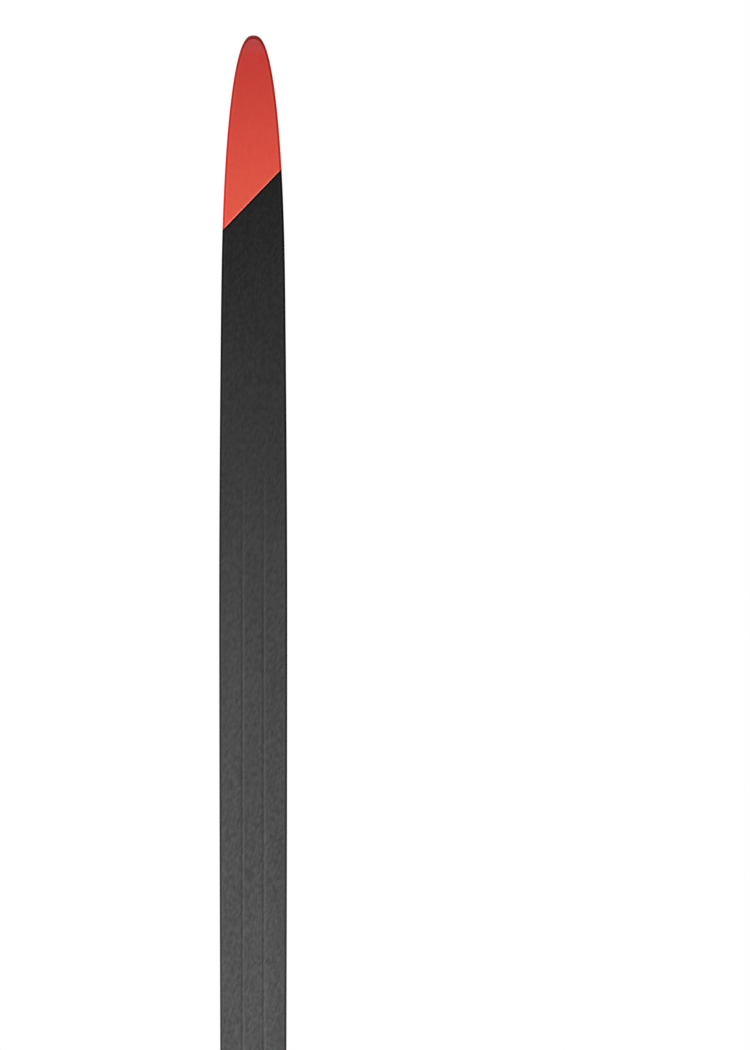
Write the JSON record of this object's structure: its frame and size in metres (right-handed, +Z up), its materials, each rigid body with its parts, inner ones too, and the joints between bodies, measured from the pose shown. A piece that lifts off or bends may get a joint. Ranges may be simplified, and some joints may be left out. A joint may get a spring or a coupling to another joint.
{
  "type": "cross country ski",
  "caption": "Long narrow cambered skating ski with a red tip inlay in a black grooved base and a step-in toe binding that slides on a rail plate.",
  "frame": {"origin": "on the floor under the middle of the ski's length and width", "axes": "+X to the tip, +Y to the rider's left, +Z up from the base to the top sheet"},
  "size_m": [1.86, 0.045, 0.068],
  "materials": {
    "black_base": "satin",
    "red_base": "satin",
    "carbon_laminate": "satin",
    "honeycomb": "matte",
    "stringer_wood": "matte",
    "sidewall_plastic": "satin",
    "spacer_plastic": "satin",
    "reinforcement_alloy": "satin",
    "top_skin": "gloss",
    "plate_plastic": "matte",
    "housing_plastic": "satin",
    "steel": "satin",
    "rubber": "matte",
    "red_plastic": "gloss"
  },
  "bodies": {
    "ski": {"running_base": "black_base", "tip_base": "red_base", "lower_laminate": "carbon_laminate", "honeycomb_core": "honeycomb", "stringer_left": "stringer_wood", "stringer_right": "stringer_wood", "sidewall_left": "sidewall_plastic", "sidewall_right": "sidewall_plastic", "tip_spacer": "spacer_plastic", "tail_spacer": "spacer_plastic", "tail_protector": "spacer_plastic", "binding_reinforcement": "reinforcement_alloy", "upper_laminate": "carbon_laminate", "top_sheet": "top_skin", "binding_plate": "plate_plastic"},
    "toe_unit": {"toe_chassis": "housing_plastic", "bar_seat": "steel", "jaw_spring": "steel", "flexor": "rubber", "lever_pin": "steel", "toe_latch_pin": "steel"},
    "release_lever": {"lever": "red_plastic"},
    "bar_jaw": {"jaw": "steel"},
    "toe_lock": {"toe_latch": "red_plastic"},
    "heel_unit": {"heel_chassis": "housing_plastic", "heel_pad": "rubber", "heel_latch_pin": "steel"},
    "heel_lock": {"heel_latch": "red_plastic"}
  },
  "joints": [
    {"name": "toe_unit_slide", "type": "slide", "parent": "ski", "child": "toe_unit", "axis": [1, 0, 0], "range_m": [-0.012, 0.012]},
    {"name": "lever_hinge", "type": "hinge", "parent": "toe_unit", "child": "release_lever", "pos_m": [0.014, 0, 0.063], "axis": [0, -1, 0], "range_deg": [0, 75], "stiffness_Nm_per_rad": 0.05, "springref_deg": -17.19},
    {"name": "jaw_slide", "type": "slide", "parent": "toe_unit", "child": "bar_jaw", "axis": [1, 0, 0], "range_m": [0, 0.005], "deforming": ["jaw_spring"]},
    {"name": "toe_latch_hinge", "type": "hinge", "parent": "toe_unit", "child": "toe_lock", "pos_m": [-0.072, 0, 0.0552], "axis": [0, -1, 0], "range_deg": [0, 25], "stiffness_Nm_per_rad": 0.02, "springref_deg": -17.19},
    {"name": "heel_unit_slide", "type": "slide", "parent": "ski", "child": "heel_unit", "axis": [1, 0, 0], "range_m": [-0.012, 0.012]},
    {"name": "heel_latch_hinge", "type": "hinge", "parent": "heel_unit", "child": "heel_lock", "pos_m": [-0.256, 0, 0.0552], "axis": [0, -1, 0], "range_deg": [0, 25], "stiffness_Nm_per_rad": 0.02, "springref_deg": -17.19}
  ],
  "couplings": [
    {"joint": "jaw_slide", "follows": "lever_hinge", "m_per_rad": 0.0038}
  ]
}
